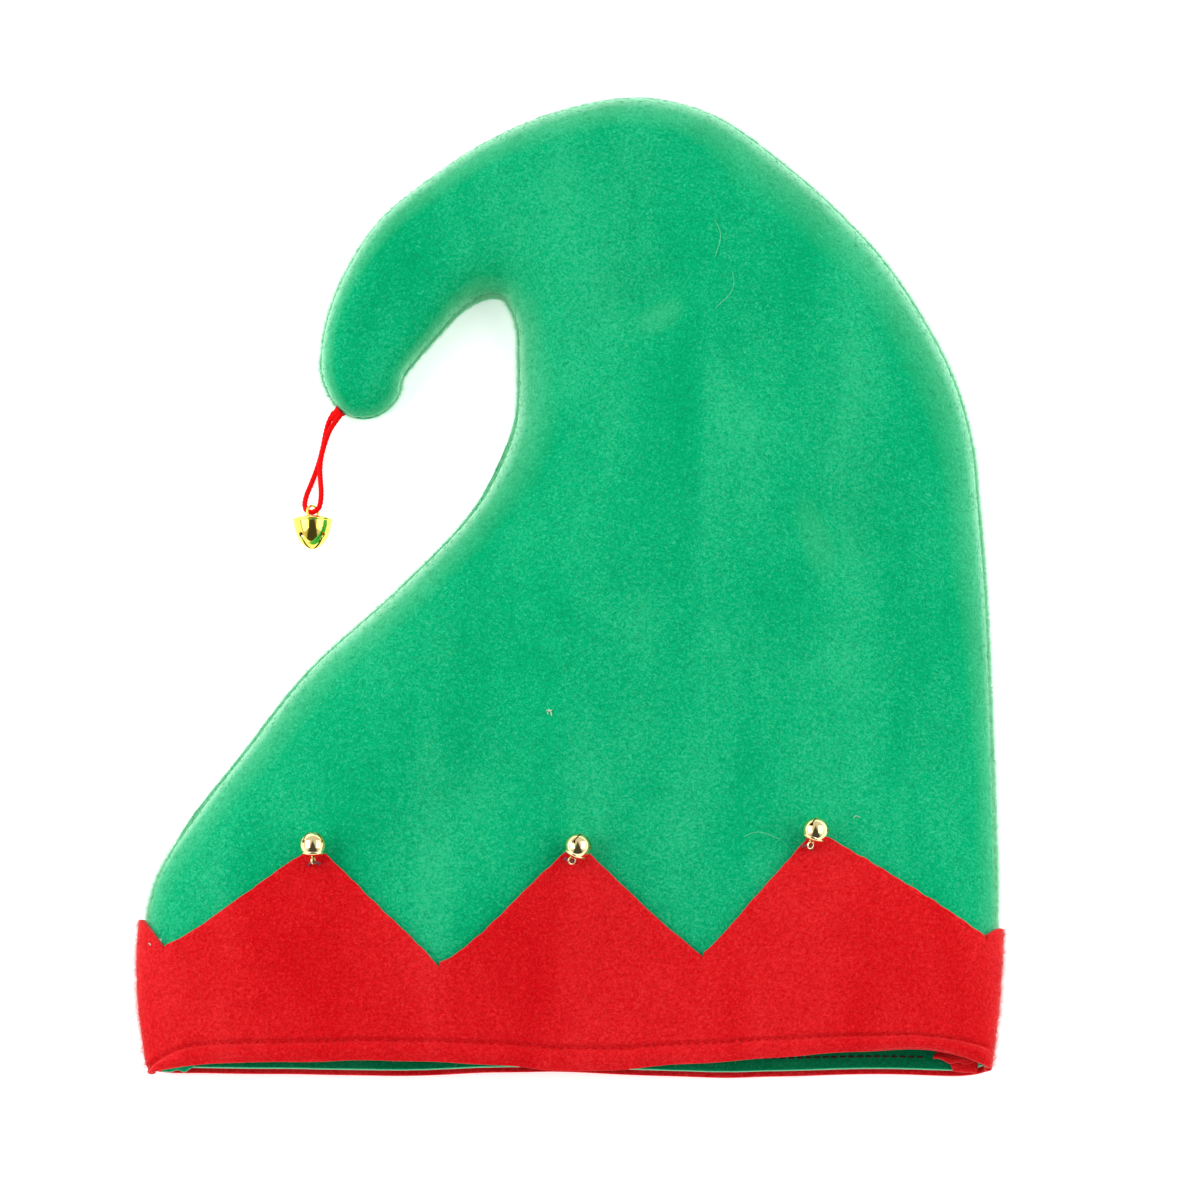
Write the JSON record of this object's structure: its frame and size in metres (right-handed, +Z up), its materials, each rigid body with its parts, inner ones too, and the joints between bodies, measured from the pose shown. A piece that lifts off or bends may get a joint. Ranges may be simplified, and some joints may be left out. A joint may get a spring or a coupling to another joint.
{
  "type": "elf hat",
  "caption": "Green felt elf hat with a curled crown, a red zigzag band with small jingle bells, and a jingle bell on a cord at the tip, lying on its back panel.",
  "frame": {"origin": "on the surface that the hat lies on, below the middle of its box without the cord and the tip bell", "axes": "+Z up from the surface, through the hat's thickness; +Y from the mouth towards the crown's top; +X to the right as the front is seen, away from the curl"},
  "size_m": [0.2848, 0.3359, 0.0438],
  "materials": {
    "felt_green": "matt brushed felt, bright green",
    "felt_red": "matt brushed felt, bright red",
    "cord_red": "smooth round cord, red",
    "bell_gold": "polished pale gold plating"
  },
  "bodies": {
    "root": {"crown_front": "felt_green", "crown_back": "felt_green", "band_front": "felt_red", "band_back": "felt_red", "seam_end_left": "felt_red", "seam_end_right": "felt_red", "bell_left": "bell_gold", "bell_middle": "bell_gold", "bell_right": "bell_gold", "tip_bell": "bell_gold", "cord_loop": "cord_red"}
  },
  "joints": []
}
